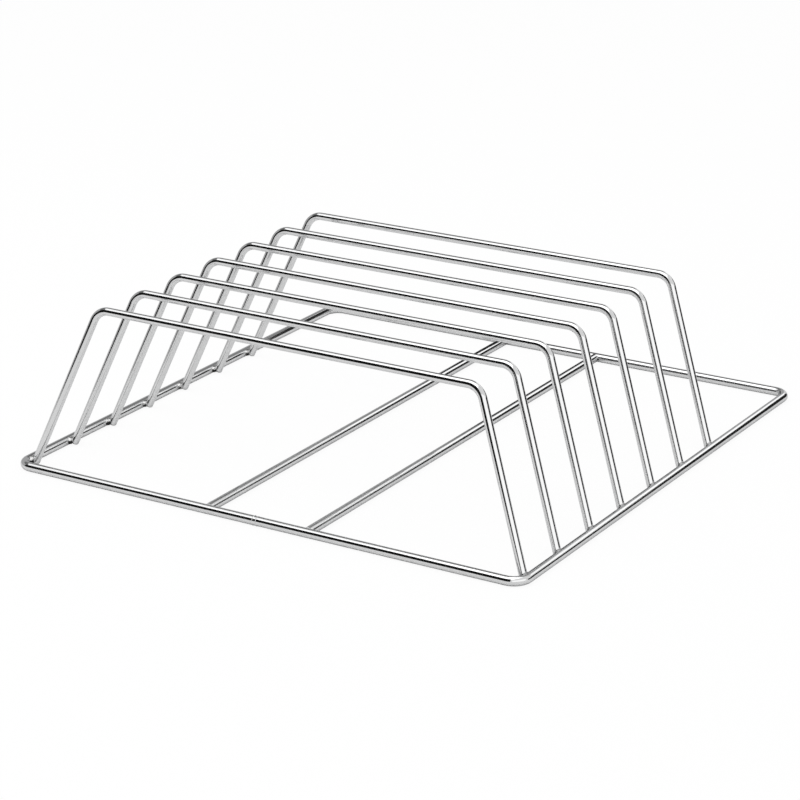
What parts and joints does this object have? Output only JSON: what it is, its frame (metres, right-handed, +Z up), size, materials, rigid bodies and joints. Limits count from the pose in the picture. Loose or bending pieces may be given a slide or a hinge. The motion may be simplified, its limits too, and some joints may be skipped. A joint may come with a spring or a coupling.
{
  "type": "tray rack",
  "caption": "Welded round-wire rack: a square base frame with cross wires carries a row of leaning trapezoid hoops that hold trays on edge.",
  "frame": {"origin": "on the floor, under the middle of the base frame", "axes": "+X to the right along the front wire, +Y to the back, the way the hoops lean, +Z up"},
  "size_m": [0.5, 0.5003, 0.1445],
  "materials": {
    "frame_wire": "bright polished stainless steel wire",
    "hoop_wire": "bright polished stainless steel wire",
    "weld": "cleaned tack welds, slightly rough"
  },
  "bodies": {
    "root": {"frame_wire": "frame_wire", "cross_wire_left": "frame_wire", "cross_wire_right": "frame_wire", "hoop_1": "hoop_wire", "hoop_2": "hoop_wire", "hoop_3": "hoop_wire", "hoop_4": "hoop_wire", "hoop_5": "hoop_wire", "hoop_6": "hoop_wire", "hoop_7": "hoop_wire", "frame_butt_weld": "weld", "cross_wire_left_front_weld": "weld", "cross_wire_left_back_weld": "weld", "cross_wire_right_front_weld": "weld", "cross_wire_right_back_weld": "weld", "hoop_1_left_weld": "weld", "hoop_1_right_weld": "weld", "hoop_2_left_weld": "weld", "hoop_2_right_weld": "weld", "hoop_3_left_weld": "weld", "hoop_3_right_weld": "weld", "hoop_4_left_weld": "weld", "hoop_4_right_weld": "weld", "hoop_5_left_weld": "weld", "hoop_5_right_weld": "weld", "hoop_6_left_weld": "weld", "hoop_6_right_weld": "weld", "hoop_7_left_weld": "weld", "hoop_7_right_weld": "weld"}
  },
  "joints": []
}
